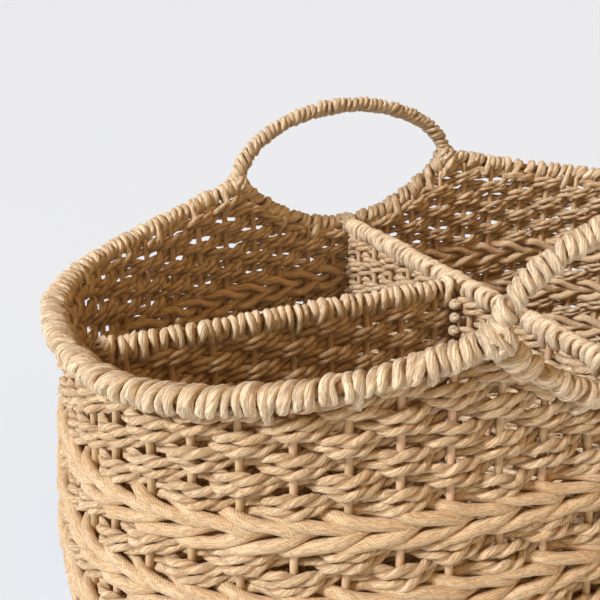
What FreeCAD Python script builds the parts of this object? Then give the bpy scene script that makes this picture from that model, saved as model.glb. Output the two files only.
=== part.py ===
"""Divided oval basket of twisted paper rope woven on round wooden stakes.

Two wrapped loop handles stand on the long sides, and two woven dividers share the inside into
three compartments. Units are millimetres. The origin is the middle of the bottom face, +X is the
long axis, and +Z is up.
"""
import FreeCAD
import Part
import math
import os

V = FreeCAD.Vector

# --- driving dimensions -------------------------------------------------------------------------
HALF_LENGTH = 190.0        # plan centre to the middle of the rim roll, along X
HALF_WIDTH = 123.0         # plan centre to the middle of the rim roll, along Y
OUTLINE_POWER = 2.45       # superellipse exponent of the plan: 2 is an ellipse, more is squarer

ROW_PITCH = 7.15           # height of one woven row
UPPER_ROWS = 5             # plain pair-woven rows under the rim
BAND_ROWS = 2              # rows in each wale band and in each pair band below them
BAND_REPEATS = 5           # wale band and pair band, repeated down to the base

ROLL_RADIUS = 4.6          # wrapped rolls on the rim and on the dividers
HANDLE_RADIUS = 4.5
CORE_RADIUS = 2.0          # cane inside every roll
STAKE_RADIUS = 1.55
STAKE_COUNT = 56
WALL = 9.4                 # thickness over ropes and stakes
WALL_INSET = 0.3           # wall's outer face inside the line of the rim roll, at the rim
BELLY = 12.0               # how far the wall swells outwards at its fullest
BELLY_DEPTH = 0.62         # fullest part below the rim, as a share of the height

FOOT_X = 68.5              # half the distance between a handle's feet
FOOT_RISE = 18.8           # rim at the handle's feet, above the rim at the basket's ends
RAMP_POWER = 1.72          # how late the rim starts to rise towards the feet
DIP_DEPTH = 14.0           # rim under the middle of a handle, below the rim at the ends
DIP_POWER = 2.15
HANDLE_RISE = 37.0         # top of the handle above its feet
HANDLE_POWER = 1.92        # 2 is a half ellipse

LASHING_RADIUS = 7.4       # crossed lashing round each handle foot
END_LASHING_RADIUS = 6.6   # lashing at each end of the long divider's roll
SIDE_KNOT_RADIUS = 5.6     # knot at the outer end of the short divider's roll
SIDE_DROP_OUTER = 10.0     # short divider's roll below the rim, at the wall
SIDE_DROP_INNER = 14.4     # and where it meets the long divider

BORDER_RADIUS = 4.4        # wrapped border round the bottom edge
BASE_THICKNESS = 8.6
PANEL = 9.4                # divider thickness over ropes and stakes
KNOT_RADIUS = 2.6          # one knot of the column that ties the two dividers together
GAP = 0.3                  # clearance between neighbouring solids
BORE_GAP = 0.1             # clearance round stakes and cores

# --- derived dimensions -------------------------------------------------------------------------
BORDER_TOP = 2 * BORDER_RADIUS + GAP
ROWS = UPPER_ROWS + 2 * BAND_ROWS * BAND_REPEATS
RIM_HEIGHT = BORDER_TOP + ROWS * ROW_PITCH + ROLL_RADIUS
UPPER_BOTTOM = RIM_HEIGHT - ROLL_RADIUS - UPPER_ROWS * ROW_PITCH
FOOT_HEIGHT = RIM_HEIGHT + FOOT_RISE
DIP_HEIGHT = RIM_HEIGHT - DIP_DEPTH
WALL_TOP = FOOT_HEIGHT + ROLL_RADIUS
MID_WALL = WALL_INSET + WALL / 2
STAKE_SPACING = 18.8


# --- plan outline and rim heights ---------------------------------------------------------------
def swell(z):
    """How far the wall stands out at height z: nothing at the base and at the rim."""
    depth = 1 - z / RIM_HEIGHT
    if depth <= 0:
        return 0.0
    if depth < BELLY_DEPTH:
        return BELLY / 2 * (1 - math.cos(math.pi * depth / BELLY_DEPTH))
    return BELLY / 2 * (1 + math.cos(math.pi * (depth - BELLY_DEPTH) / (1 - BELLY_DEPTH)))


def plan_point(angle, z, inset=0.0):
    """Point of the plan outline at a parameter angle, moved in by inset, at height z."""
    c, s = math.cos(angle), math.sin(angle)
    power = 2 / OUTLINE_POWER
    x = math.copysign(abs(c) ** power, c) * (HALF_LENGTH - inset)
    y = math.copysign(abs(s) ** power, s) * (HALF_WIDTH - inset)
    return V(x, y, z)


def rim_y(x):
    """Half width of the rim line at x."""
    return HALF_WIDTH * (1 - abs(x / HALF_LENGTH) ** OUTLINE_POWER) ** (1 / OUTLINE_POWER)


def rim_z(x):
    """Height of the rim line: a ramp up to each handle foot and a dip under the handle."""
    if abs(x) >= FOOT_X:
        run = max(0.0, HALF_LENGTH - abs(x)) / (HALF_LENGTH - FOOT_X)
        return RIM_HEIGHT + FOOT_RISE * run ** RAMP_POWER
    return DIP_HEIGHT + (FOOT_RISE + DIP_DEPTH) * abs(x / FOOT_X) ** DIP_POWER


def even_angles(count, inset):
    """Parameter angles of points spaced evenly round the outline, half a space off the +X tip."""
    samples = 4000
    points = [plan_point(2 * math.pi * i / samples, 0, inset) for i in range(samples + 1)]
    lengths = [0.0]
    for before, after in zip(points, points[1:]):
        lengths.append(lengths[-1] + before.distanceToPoint(after))
    angles, i = [], 0
    for k in range(count):
        wanted = (k + 0.5) * lengths[-1] / count
        while lengths[i + 1] < wanted:
            i += 1
        part = (wanted - lengths[i]) / (lengths[i + 1] - lengths[i])
        angles.append(2 * math.pi * (i + part) / samples)
    return angles


# --- solids -------------------------------------------------------------------------------------
def tube(points, radius, bore=0.0, closed=False):
    """Rod or tube along straight runs joined by tangent arcs, through the given corner points."""
    count = len(points)
    corners = range(count) if closed else range(1, count - 1)
    bends = {}
    for i in corners:
        before, here, after = points[i - 1], points[i], points[(i + 1) % count]
        back, ahead = before - here, after - here
        half_turn = (math.pi - back.getAngle(ahead)) / 2
        reach = 0.45 * min(back.Length, ahead.Length)
        back.normalize()
        ahead.normalize()
        middle = back + ahead
        middle.normalize()
        arc_radius = reach / math.tan(half_turn)
        sagitta = arc_radius / math.cos(half_turn) - arc_radius
        bends[i] = (here + back * reach, here + middle * sagitta, here + ahead * reach)
    edges = []
    pen = bends[0][0] if closed else points[0]
    for i in sorted(bends):
        start, middle, end = bends[i]
        if pen.distanceToPoint(start) > 1e-6:
            edges.append(Part.makeLine(pen, start))
        edges.append(Part.Arc(start, middle, end).toShape())
        pen = end
    last = bends[0][0] if closed else points[-1]
    edges.append(Part.makeLine(pen, last))
    path = Part.Wire(edges)
    start, heading = edges[0].Vertexes[0].Point, edges[0].tangentAt(edges[0].FirstParameter)
    section = Part.Face(Part.Wire(Part.makeCircle(radius, start, heading)))
    solid = path.makePipe(section)
    if bore:
        inner = Part.Face(Part.Wire(Part.makeCircle(bore, start, heading)))
        solid = solid.cut(path.makePipe(inner))
    return solid


def outline_wire(z, inset, points=56):
    """Closed smooth outline at height z."""
    curve = Part.BSplineCurve()
    ring = [plan_point(2 * math.pi * (i + 0.5) / points, z, inset - swell(z)) for i in range(points)]
    curve.interpolate(Points=ring, PeriodicFlag=True)
    return Part.Wire(curve.toShape())


def bellied(bottom, top, inset, steps):
    """Solid body inside the swelling outline, from one height to another."""
    heights = [bottom + (top - bottom) * i / steps for i in range(steps + 1)]
    return Part.makeLoft([outline_wire(z, inset) for z in heights], True, False)


def ring_band(bottom, top, steps=2):
    """Woven wall between two heights, as a closed ring."""
    return bellied(bottom, top, WALL_INSET, steps).cut(bellied(bottom, top, WALL_INSET + WALL, steps))


def above_rim():
    """Everything above the underside of the rim roll, as a block to cut the wall with."""
    def edge(first, last):
        count = 14
        xs = [first + (last - first) * i / count for i in range(count + 1)]
        step = 0.01
        points = []
        for x in xs:
            slope = (rim_z(x + step) - rim_z(x - step)) / (2 * step) if first < x < last else 0.0
            points.append(V(x, 0, rim_z(x) - (ROLL_RADIUS + GAP) * math.hypot(1, slope)))
        curve = Part.BSplineCurve()
        curve.interpolate(points)
        return curve.toShape()
    reach = HALF_LENGTH - 0.02
    spans = [edge(-reach, -FOOT_X), edge(-FOOT_X, FOOT_X), edge(FOOT_X, reach)]
    far = HALF_LENGTH + 30
    low_left, low_right = spans[0].Vertexes[0].Point, spans[2].Vertexes[-1].Point
    corners = [low_right, V(far, 0, low_right.z), V(far, 0, WALL_TOP + 30),
               V(-far, 0, WALL_TOP + 30), V(-far, 0, low_left.z), low_left]
    lines = [Part.makeLine(a, b) for a, b in zip(corners, corners[1:])]
    face = Part.Face(Part.Wire(Part.__sortEdges__(spans + lines)))
    face.translate(V(0, -HALF_WIDTH - 30, 0))
    return face.extrude(V(0, 2 * HALF_WIDTH + 60, 0))


def save(name, solids):
    """Write one node's solids, and say how large they are."""
    shape = solids[0] if len(solids) == 1 else Part.makeCompound(solids)
    volume = sum(s.Volume for s in shape.Solids) / 1000
    print(f"{name}: {len(shape.Solids)} solid(s), {volume:.1f} cm3, valid {shape.isValid()}")
    shape.exportStep(f"parts/{name}.step")


# --- sub-assemblies -----------------------------------------------------------------------------
def foot_point(side_x, side_y):
    """Centre of the lashing at one foot of a handle."""
    return V(side_x * FOOT_X, side_y * rim_y(FOOT_X), FOOT_HEIGHT)


def lashings():
    """Knots that every roll stops against: four at the handle feet, and three on the dividers."""
    knots = {}
    for x_name, side_x in (("left", -1), ("right", 1)):
        for y_name, side_y in (("front", -1), ("back", 1)):
            ball = Part.makeSphere(LASHING_RADIUS, foot_point(side_x, side_y))
            knots[f"foot_lashing_{y_name}_{x_name}"] = ball
    for y_name, side_y in (("front", -1), ("back", 1)):
        centre = V(0, side_y * (HALF_WIDTH - ROLL_RADIUS), DIP_HEIGHT)
        knots[f"divider_lashing_{y_name}"] = Part.makeSphere(END_LASHING_RADIUS, centre)
    knots["side_divider_knot"] = Part.makeSphere(SIDE_KNOT_RADIUS, side_roll_line()[0])
    return knots


def side_roll_line():
    """Ends of the short divider's roll, from its outer knot to the long divider's roll."""
    outer_x = -(HALF_LENGTH - WALL_INSET - WALL - SIDE_KNOT_RADIUS - 2.0)
    return [V(outer_x, 0, RIM_HEIGHT - SIDE_DROP_OUTER), V(0, 0, RIM_HEIGHT - SIDE_DROP_INNER)]


def rim_points(side_x):
    """Corner points of the rim roll from the front foot round the end to the back foot."""
    foot = rim_y(FOOT_X)
    turn = math.atan2(math.sqrt((foot / HALF_WIDTH) ** OUTLINE_POWER),
                      math.sqrt((FOOT_X / HALF_LENGTH) ** OUTLINE_POWER))
    count = 17
    points = []
    for i in range(count):
        point = plan_point(-turn + 2 * turn * i / (count - 1), 0)
        points.append(V(side_x * point.x, point.y, rim_z(point.x)))
    return points


def dip_points(side_y):
    """Corner points of the roll that dips under a handle."""
    count = 8
    xs = [-FOOT_X + 2 * FOOT_X * i / count for i in range(count + 1)]
    return [V(x, side_y * rim_y(x), rim_z(x)) for x in xs]


def handle_points(side_y):
    """Corner points of the loop handle, an upright arch that follows the wall's curve."""
    count = 12
    power = 2 / HANDLE_POWER
    points = []
    for i in range(count + 1):
        c, s = math.cos(math.pi * i / count), math.sin(math.pi * i / count)
        x = -FOOT_X * math.copysign(abs(c) ** power, c)
        points.append(V(x, side_y * rim_y(x), FOOT_HEIGHT + HANDLE_RISE * abs(s) ** power))
    return points


def wrapped_roll(points, radius, knots, closed=False):
    """Core cane and the wrapping round it, both cut back to the lashings."""
    core = tube(points, CORE_RADIUS, closed=closed)
    wrap = tube(points, radius, CORE_RADIUS + BORE_GAP, closed=closed)
    if knots:
        core, wrap = core.cut(knots), wrap.cut(knots)
    return core, wrap


def wall_stakes(radius, top_cutter):
    """Round stakes of the wall, standing in the middle of its thickness."""
    heights = [BORDER_TOP + GAP, 28, 46, 64, 82, 104, 128, 158, RIM_HEIGHT, WALL_TOP + 6]
    stakes = []
    for angle in even_angles(STAKE_COUNT, MID_WALL):
        corners = [plan_point(angle, z, MID_WALL - swell(z)) for z in heights]
        stakes.append(tube(corners, radius).cut(top_cutter))
    return stakes


def wall_bands(tunnels, knots, top_cutter):
    """Woven bands of the wall from the rim down: plain weave, then wale and pair bands."""
    bands = {}
    upper = ring_band(UPPER_BOTTOM, WALL_TOP, 3).cut([top_cutter] + knots)
    bands["upper_weave"] = upper.cut(tunnels)
    top = UPPER_BOTTOM
    for i in range(BAND_REPEATS):
        for kind in ("wale_band", "pair_band"):
            bottom = top - BAND_ROWS * ROW_PITCH
            bands[f"{kind}_{i + 1}"] = ring_band(bottom, top).cut(tunnels)
            top = bottom
    return bands


def base_parts():
    """Woven base with its cross stakes, and the wrapped border round its edge."""
    base = bellied(0, BASE_THICKNESS, WALL_INSET + WALL + GAP, 1)
    rods, tunnels = [], []
    half_count = int((HALF_LENGTH - 20) / STAKE_SPACING)
    for i in range(-half_count, half_count + 1):
        x = i * STAKE_SPACING
        half = (HALF_WIDTH - WALL) * (1 - abs(x / HALF_LENGTH) ** OUTLINE_POWER) ** (1 / OUTLINE_POWER) - 6
        for radius, group in ((STAKE_RADIUS, rods), (STAKE_RADIUS + BORE_GAP, tunnels)):
            group.append(Part.makeCylinder(radius, 2 * half, V(x, -half, BASE_THICKNESS / 2), V(0, 1, 0)))
    count = 40
    ring = [plan_point(2 * math.pi * (i + 0.5) / count, BORDER_RADIUS + GAP / 2, MID_WALL)
            for i in range(count)]
    core, wrap = wrapped_roll(ring, BORDER_RADIUS, [], closed=True)
    return {"base_weave": [base.cut(tunnels)], "base_stakes": rods,
            "base_border_core": [core], "base_border_wrap": [wrap.cut(base)]}


def panel_parts(name, outline, stakes_at, knots, cavity):
    """One woven divider: a panel between the walls, with its upright stakes inside."""
    panel = outline.common(cavity).cut(knots)
    rods, tunnels = [], []
    bottom = BASE_THICKNESS + GAP
    for x, y, top in stakes_at:
        rods.append(Part.makeCylinder(STAKE_RADIUS, top - bottom, V(x, y, bottom)))
        tunnels.append(Part.makeCylinder(STAKE_RADIUS + BORE_GAP, top - bottom, V(x, y, bottom)))
    return {f"{name}_weave": [panel.cut(tunnels)], f"{name}_stakes": rods}


def divider_parts(knots, dip_rolls):
    """Long divider across the basket, short divider from the left end, and their rolls."""
    cavity = bellied(BASE_THICKNESS + GAP, WALL_TOP, WALL_INSET + WALL + GAP, 10)
    under_roll = ROLL_RADIUS + GAP
    balls = list(knots.values())
    parts = {}

    long_top = DIP_HEIGHT - under_roll
    slab = Part.makeBox(PANEL, 2 * HALF_WIDTH, long_top, V(-PANEL / 2, -HALF_WIDTH, 0))
    count = 12
    spots = [(0, (i - (count - 1) / 2) * STAKE_SPACING, long_top) for i in range(count)]
    parts.update(panel_parts("long_divider", slab, spots, balls, cavity))
    ends = [V(0, -HALF_WIDTH, DIP_HEIGHT), V(0, HALF_WIDTH, DIP_HEIGHT)]
    core, wrap = wrapped_roll(ends, ROLL_RADIUS, balls + dip_rolls)
    parts["long_divider_core"], parts["long_divider_wrap"] = [core.Solids[0]], [wrap.Solids[0]]

    outer, inner = side_roll_line()
    run = inner - outer
    far = V(outer.x - 20, 0, outer.z - 20 * run.z / run.x)
    corners = [V(-PANEL / 2 - GAP, -PANEL / 2, 0), V(far.x, -PANEL / 2, 0),
               V(far.x, -PANEL / 2, far.z - under_roll),
               V(-PANEL / 2 - GAP, -PANEL / 2, inner.z - under_roll)]
    slab = Part.Face(Part.makePolygon(corners + corners[:1])).extrude(V(0, PANEL, 0))
    spots = []
    for i in range(9):
        x = -STAKE_SPACING * (i + 0.75)
        spots.append((x, 0, inner.z + (x - inner.x) * run.z / run.x - under_roll - GAP))
    parts.update(panel_parts("side_divider", slab, spots, balls, cavity))
    core, wrap = wrapped_roll([outer, inner], ROLL_RADIUS, balls + [wrap_block()])
    parts["side_divider_core"], parts["side_divider_wrap"] = [core], [wrap]

    column = []
    reach = PANEL / 2 + KNOT_RADIUS + GAP
    for i in range(int((inner.z - under_roll - BASE_THICKNESS) / ROW_PITCH) - 1):
        z = inner.z - under_roll - KNOT_RADIUS - 1 - i * ROW_PITCH
        for side in (-1, 1):
            column.append(Part.makeSphere(KNOT_RADIUS, V(-reach, side * reach, z)))
    parts["divider_joint_knots"] = column
    return parts


def wrap_block():
    """Space of the long divider's roll, which the short divider's roll stops against."""
    return Part.makeCylinder(ROLL_RADIUS + GAP, HALF_WIDTH, V(0, -HALF_WIDTH / 2, DIP_HEIGHT), V(0, 1, 0))


def build():
    """Every node of the basket, by name."""
    knots = lashings()
    feet = [ball for name, ball in knots.items() if name.startswith("foot")]
    balls = list(knots.values())
    cutter = above_rim()
    parts = {name: [ball] for name, ball in knots.items()}
    parts.update(base_parts())

    tunnels = wall_stakes(STAKE_RADIUS + BORE_GAP, cutter)
    parts["wall_stakes"] = [s.cut(balls).Solids[0] for s in wall_stakes(STAKE_RADIUS, cutter)]
    for name, band in wall_bands(tunnels, balls, cutter).items():
        parts[name] = [band]

    dips = []
    for y_name, side_y in (("front", -1), ("back", 1)):
        core, wrap = wrapped_roll(dip_points(side_y), ROLL_RADIUS, balls)
        parts[f"dip_core_{y_name}"], parts[f"dip_wrap_{y_name}"] = [core], [wrap]
        dips.append(tube(dip_points(side_y), ROLL_RADIUS + GAP))
        core, wrap = wrapped_roll(handle_points(side_y), HANDLE_RADIUS, feet)
        parts[f"handle_core_{y_name}"], parts[f"handle_wrap_{y_name}"] = [core], [wrap]
    for x_name, side_x in (("left", -1), ("right", 1)):
        core, wrap = wrapped_roll(rim_points(side_x), ROLL_RADIUS, feet)
        parts[f"rim_core_{x_name}"], parts[f"rim_wrap_{x_name}"] = [core], [wrap]
    parts.update(divider_parts(knots, dips))
    return parts


os.makedirs("parts", exist_ok=True)
for node, node_solids in build().items():
    save(node, node_solids)
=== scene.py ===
"""Divided oval basket of twisted paper rope, woven over the frame's stakes, rolls and dividers.

The frame gives every size that the design fixes. The classes below each build one sub-assembly as
real cords: two-ply ropes in front of and behind the stakes, wale cords, wrapped rolls and lashings.
"""
import logging
import math
from dataclasses import dataclass, field
from enum import Enum

import bmesh
import bpy
import numpy as np
from mathutils import Matrix, Vector


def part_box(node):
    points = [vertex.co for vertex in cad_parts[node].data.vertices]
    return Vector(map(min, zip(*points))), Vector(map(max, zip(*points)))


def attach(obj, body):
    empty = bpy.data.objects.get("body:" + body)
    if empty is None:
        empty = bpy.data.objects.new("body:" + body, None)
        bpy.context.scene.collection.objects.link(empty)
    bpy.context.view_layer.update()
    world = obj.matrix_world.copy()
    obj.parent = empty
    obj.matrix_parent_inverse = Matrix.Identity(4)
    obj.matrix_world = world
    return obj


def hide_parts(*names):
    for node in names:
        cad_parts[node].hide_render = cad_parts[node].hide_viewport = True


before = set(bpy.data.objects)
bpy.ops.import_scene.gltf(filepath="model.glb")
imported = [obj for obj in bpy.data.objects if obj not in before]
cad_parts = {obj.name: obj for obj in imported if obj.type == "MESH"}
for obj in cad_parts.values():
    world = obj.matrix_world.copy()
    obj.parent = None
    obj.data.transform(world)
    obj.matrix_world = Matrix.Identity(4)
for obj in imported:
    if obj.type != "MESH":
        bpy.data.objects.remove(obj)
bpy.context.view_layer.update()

ROOT = "root"
MM = 0.001
Colour = tuple[float, float, float, float]
log = logging.getLogger("basket")


class Lay(Enum):
    """Which way a rope's plies are twisted."""

    LEFT = -1
    RIGHT = 1


class Slot(Enum):
    """Material slots of the record."""

    WOVEN = "woven_rope"
    WALE = "wale_cord"
    BINDING = "binding_cord"
    HANDLE = "handle_cord"
    STAKE = "stake_wood"
    CANE = "cane_core"


# --- shape of the basket --------------------------------------------------------------------------
@dataclass(frozen=True)
class BasketForm:
    """Outline, swell and rim heights of the basket, in metres, taken from the frame.

    Attributes:
        half_length: plan centre to the middle of the rim roll, along X.
        half_width: the same along Y.
        rim_height: height of the rim roll's middle at the basket's ends.
        foot_x: half the distance between a handle's feet.
        foot_height: height of the rim at the handle's feet.
        dip_height: height of the rim under the middle of a handle.
        handle_rise: top of the handle above its feet.
        border_top: top of the wrapped bottom edge.
        base_thickness: thickness of the woven base.
        side_outer: outer end of the short divider's roll.
        row_pitch: height of one woven row.
        roll_radius: radius of the wrapped rolls.
        handle_radius: radius of a wrapped handle.
        outline_power: exponent of the plan's superellipse; 2 is an ellipse, more is squarer.
        ramp_power: how late the rim starts to rise towards the feet.
        dip_power: how sharply it dips under a handle.
        handle_power: exponent of the handle's arch; 2 is half an ellipse.
        belly: how far the wall swells outwards at its fullest.
        belly_depth: its fullest part below the rim, as a share of the height.
        mid_wall: the wall's middle surface inside the rim line.
        stake_count: stakes round the wall.
        upper_rows: plain rows under the rim.
        band_repeats: pairs of wale band and plain band below them.
    """

    half_length: float
    half_width: float
    rim_height: float
    foot_x: float
    foot_height: float
    dip_height: float
    handle_rise: float
    border_top: float
    base_thickness: float
    side_outer: Vector
    row_pitch: float
    roll_radius: float = 4.6 * MM
    handle_radius: float = 4.5 * MM
    outline_power: float = 2.45
    ramp_power: float = 1.72
    dip_power: float = 2.15
    handle_power: float = 1.92
    belly: float = 12.0 * MM
    belly_depth: float = 0.62
    mid_wall: float = 5.0 * MM
    stake_count: int = 56
    upper_rows: int = 5
    band_repeats: int = 5

    @classmethod
    def from_frame(cls) -> "BasketForm":
        """Read the sizes that the frame's nodes fix."""
        roll = cls.roll_radius
        rim_low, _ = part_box("rim_wrap_left")
        foot_low, foot_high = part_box("foot_lashing_back_right")
        foot = (foot_low + foot_high) / 2
        _, handle_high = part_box("handle_wrap_front")
        long_low, long_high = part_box("long_divider_wrap")
        _, border_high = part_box("base_border_wrap")
        band_low, band_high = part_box("pair_band_1")
        knot_low, knot_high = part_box("side_divider_knot")
        dip_low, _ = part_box("dip_wrap_front")
        return cls(
            half_length=-rim_low.x - roll,
            half_width=-dip_low.y - roll,
            rim_height=rim_low.z + roll,
            foot_x=foot.x,
            foot_height=foot.z,
            dip_height=(long_low.z + long_high.z) / 2,
            handle_rise=handle_high.z - cls.handle_radius - foot.z,
            border_top=border_high.z,
            base_thickness=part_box("base_weave")[1].z,
            side_outer=(knot_low + knot_high) / 2,
            row_pitch=(band_high.z - band_low.z) / 2,
        )

    def swell(self, z: np.ndarray) -> np.ndarray:
        """How far the wall stands out at height z.

        Args:
            z: heights above the floor.

        Returns:
            The outward swell at each height, nothing at the floor and above the rim.
        """
        depth = np.clip(1 - np.asarray(z) / self.rim_height, 0, 1)
        upper = 1 - np.cos(math.pi * depth / self.belly_depth)
        lower = 1 + np.cos(math.pi * (depth - self.belly_depth) / (1 - self.belly_depth))
        return self.belly / 2 * np.where(depth < self.belly_depth, upper, lower)

    def outline(self, angle: np.ndarray, inset: np.ndarray) -> np.ndarray:
        """Points of the plan outline.

        Args:
            angle: parameter angles, from the +X tip.
            inset: how far inside the rim line, one value or one for each angle.

        Returns:
            The points' x and y, one row each.
        """
        c, s = np.cos(angle), np.sin(angle)
        power = 2 / self.outline_power
        x = np.sign(c) * np.abs(c) ** power * (self.half_length - inset)
        y = np.sign(s) * np.abs(s) ** power * (self.half_width - inset)
        return np.stack([x, y], -1)

    def stake_angle(self, q: np.ndarray) -> np.ndarray:
        """Parameter angle at a place counted in stakes: whole numbers are the stakes themselves."""
        samples = 8001
        angles = np.linspace(0, 2 * math.pi, samples)
        points = self.outline(angles, self.mid_wall)
        lengths = np.concatenate([[0], np.cumsum(np.linalg.norm(np.diff(points, axis=0), axis=1))])
        turns, part = np.divmod((np.asarray(q) + 0.5) / self.stake_count, 1.0)
        return np.interp(part * lengths[-1], lengths, angles) + 2 * math.pi * turns

    def wall(self, q: np.ndarray, z: np.ndarray, out: np.ndarray) -> np.ndarray:
        """Points on or beside the wall's middle surface.

        Args:
            q: places round the wall, counted in stakes.
            z: heights.
            out: distances outwards from the middle surface.

        Returns:
            The points, one row each.
        """
        inset = self.mid_wall - self.swell(z)
        angle, nudge = self.stake_angle(q), 1e-3
        point = self.outline(angle, inset)
        ahead = self.outline(angle + nudge, inset) - self.outline(angle - nudge, inset)
        normal = np.stack([ahead[:, 1], -ahead[:, 0]], -1)
        normal /= np.linalg.norm(normal, axis=1, keepdims=True)
        flat = point + normal * np.reshape(out, (-1, 1))
        return np.concatenate([flat, np.reshape(z, (-1, 1))], 1)

    def rim_y(self, x: np.ndarray) -> np.ndarray:
        """Half width of the rim line at x."""
        inside = 1 - np.abs(np.asarray(x) / self.half_length) ** self.outline_power
        return self.half_width * np.maximum(inside, 0) ** (1 / self.outline_power)

    def rim_z(self, x: np.ndarray) -> np.ndarray:
        """Height of the rim line at x: a ramp up to each handle foot, a dip under the handle."""
        across = np.abs(x)
        run = np.clip((self.half_length - across) / (self.half_length - self.foot_x), 0, 1)
        ramp = self.rim_height + (self.foot_height - self.rim_height) * run ** self.ramp_power
        rise = self.foot_height - self.dip_height
        dip = self.dip_height + rise * (across / self.foot_x) ** self.dip_power
        return np.where(across >= self.foot_x, ramp, dip)


# --- cords ----------------------------------------------------------------------------------------
@dataclass(frozen=True)
class Cord:
    """One kind of cord.

    Attributes:
        radius: half its thickness.
        plies: how many strands are twisted together, one or two.
        lay: length of one full turn of the twist.
        twist: which way it is twisted.
        depth: how deep the groove between two plies is, from 0 to about 0.5.
    """

    radius: float
    plies: int = 2
    lay: float = 10 * MM
    twist: Lay = Lay.RIGHT
    depth: float = 0.44

    def section(self) -> list[tuple[float, float]]:
        """Points of the cord's cross-section."""
        if self.plies == 1:
            angles = [math.pi / 4 * i for i in range(8)]
            return [(self.radius * math.cos(a), self.radius * math.sin(a)) for a in angles]
        ply = 1 - self.depth
        points = []
        for degrees in (0, 50, 90, 130, 180, 230, 270, 310):
            a = math.radians(degrees)
            reach = self.depth * abs(math.cos(a))
            reach += math.sqrt(ply ** 2 - (self.depth * math.sin(a)) ** 2)
            points.append((self.radius * reach * math.cos(a), self.radius * reach * math.sin(a)))
        return points


@dataclass
class Run:
    """One cord's centreline.

    Attributes:
        points: its points, one row each.
        closed: whether it joins its own start.
        thickness: size at each point against the cord's own, or one value.
    """

    points: np.ndarray
    closed: bool = False
    thickness: np.ndarray | float = 1.0


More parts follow.
